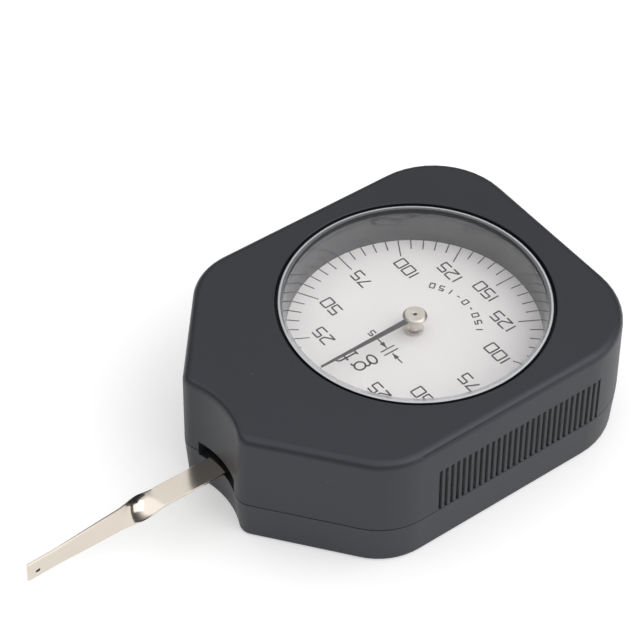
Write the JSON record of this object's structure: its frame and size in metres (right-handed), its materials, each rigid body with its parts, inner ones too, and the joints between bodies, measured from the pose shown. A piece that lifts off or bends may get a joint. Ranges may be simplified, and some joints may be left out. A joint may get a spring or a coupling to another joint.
{
  "type": "dial tension gauge",
  "caption": "Hand-held tension gauge: black two-part plastic case with a glazed round dial and a twisted metal lever that swings either way and drives the pointer through a sector gear.",
  "frame": {"origin": "point where the pointer axis meets the flat rear face of the case", "axes": "+Z out of the dial along the pointer axis, +Y towards the end of the case opposite the lever, so the lever points along -Y, +X to the right when the dial is seen with the lever pointing down"},
  "size_m": [0.062, 0.1169, 0.026],
  "materials": {
    "black_plastic": "satin moulded",
    "clear_acrylic": "clear polished",
    "dial_white": "satin white with printed scale",
    "brass": "machined",
    "bronze": "sintered",
    "steel": "turned",
    "spring_steel": "blued",
    "zinc_steel": "zinc plated",
    "nickel": "nickel plated, turned",
    "nickel_steel": "nickel plated strip",
    "needle_black": "matt black"
  },
  "bodies": {
    "case": {"front_case": "black_plastic", "rear_cover": "black_plastic", "cover_screws": "zinc_steel", "window": "clear_acrylic", "dial_plate": "dial_white", "front_plate": "brass", "rear_plate": "brass", "plate_pillars": "brass", "plate_screws": "zinc_steel", "movement_screws": "zinc_steel", "front_bushes": "bronze", "rear_bushes": "bronze", "stop_pins": "steel", "spring_anchor": "steel", "measuring_spring": "spring_steel", "hairspring_stud": "brass", "hairspring": "spring_steel"},
    "lever": {"lever_arbor": "steel", "lever_boss": "brass", "sector_gear": "brass", "lever_blade": "nickel_steel", "lever_screws": "zinc_steel"},
    "pointer": {"pinion_arbor": "steel", "hairspring_collet": "brass", "pointer_hub": "nickel", "pointer_needle": "needle_black"}
  },
  "joints": [
    {"name": "lever_swing", "type": "hinge", "parent": "case", "child": "lever", "pos_m": [0, -0.0306, 0], "axis": [0, 0, 1], "range_deg": [-11.25, 11.25], "stiffness_Nm_per_rad": 0.39, "deforming": ["measuring_spring"]},
    {"name": "pointer_turn", "type": "hinge", "parent": "case", "child": "pointer", "pos_m": [0, 0, 0], "axis": [0, 0, 1], "range_deg": [-180.2, 180.2], "deforming": ["hairspring"]}
  ],
  "couplings": [
    {"joint": "pointer_turn", "follows": "lever_swing", "ratio": -16}
  ]
}
